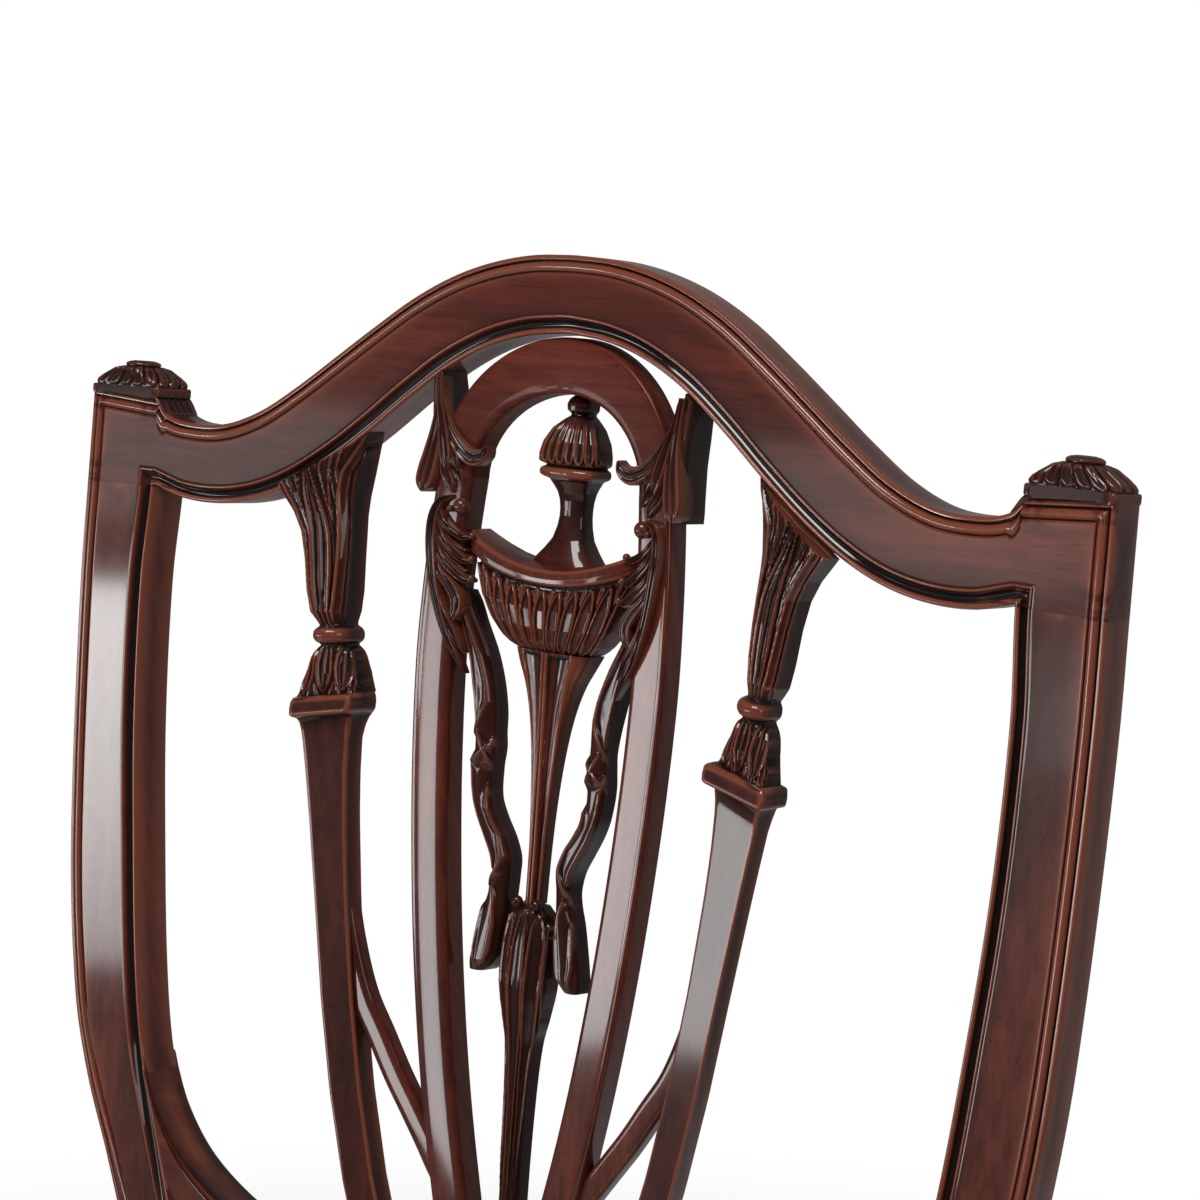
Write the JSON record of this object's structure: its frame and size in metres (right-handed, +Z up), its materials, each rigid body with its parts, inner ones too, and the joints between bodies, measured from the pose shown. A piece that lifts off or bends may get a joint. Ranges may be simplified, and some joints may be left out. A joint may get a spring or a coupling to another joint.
{
  "type": "shield back dining side chair",
  "caption": "Wooden dining side chair with a shield-shaped back, carved urn splat, stuffed-over seat, tapered front legs and stretchers.",
  "frame": {"origin": "middle of the footprint, on the floor", "axes": "+Z up; the front of the chair faces -Y; +X is to the right as seen from the front"},
  "size_m": [0.53, 0.5328, 1.0073],
  "materials": {
    "mahogany": "dark red-brown mahogany, satin to gloss lacquer, near-black glaze in the carving",
    "rail_beech": "bare sawn beech",
    "steel": "plain zinc-grey",
    "seat_cloth": "woven cream cloth, matt",
    "stuffing": "matt stuffing",
    "jute": "coarse jute weave",
    "black_cloth": "thin black cloth"
  },
  "bodies": {
    "root": {"back_post_left": "mahogany", "back_post_right": "mahogany", "calyx_stalk": "mahogany", "cloth_swag_left": "mahogany", "cloth_swag_right": "mahogany", "crest_rail": "mahogany", "cross_stretcher": "mahogany", "dust_cover": "black_cloth", "ear_cap_left": "mahogany", "ear_cap_right": "mahogany", "front_block_screw_a_left": "steel", "front_block_screw_a_right": "steel", "front_block_screw_b_left": "steel", "front_block_screw_b_right": "steel", "front_corner_block_left": "rail_beech", "front_corner_block_right": "rail_beech", "front_glide_left": "steel", "front_glide_right": "steel", "front_leg_left": "mahogany", "front_leg_right": "mahogany", "front_rail": "rail_beech", "hessian": "jute", "hoop_arch": "mahogany", "hoop_rib_left": "mahogany", "hoop_rib_right": "mahogany", "husk_drop_left": "mahogany", "husk_drop_right": "mahogany", "leaf_spray_left": "mahogany", "leaf_spray_right": "mahogany", "outer_rib_left": "mahogany", "outer_rib_right": "mahogany", "rear_block_screw_a_left": "steel", "rear_block_screw_a_right": "steel", "rear_block_screw_b_left": "steel", "rear_block_screw_b_right": "steel", "rear_corner_block_left": "rail_beech", "rear_corner_block_right": "rail_beech", "rear_glide_left": "steel", "rear_glide_right": "steel", "rear_rail": "rail_beech", "rear_stretcher": "mahogany", "rib_branch_left": "mahogany", "rib_branch_right": "mahogany", "seat_cover": "seat_cloth", "seat_pad": "stuffing", "seat_webbing": "jute", "shield_base_rail": "mahogany", "side_rail_left": "rail_beech", "side_rail_right": "rail_beech", "side_stretcher_left": "mahogany", "side_stretcher_right": "mahogany", "urn_bowl": "mahogany", "urn_finial": "mahogany", "urn_stem": "mahogany"}
  },
  "joints": []
}
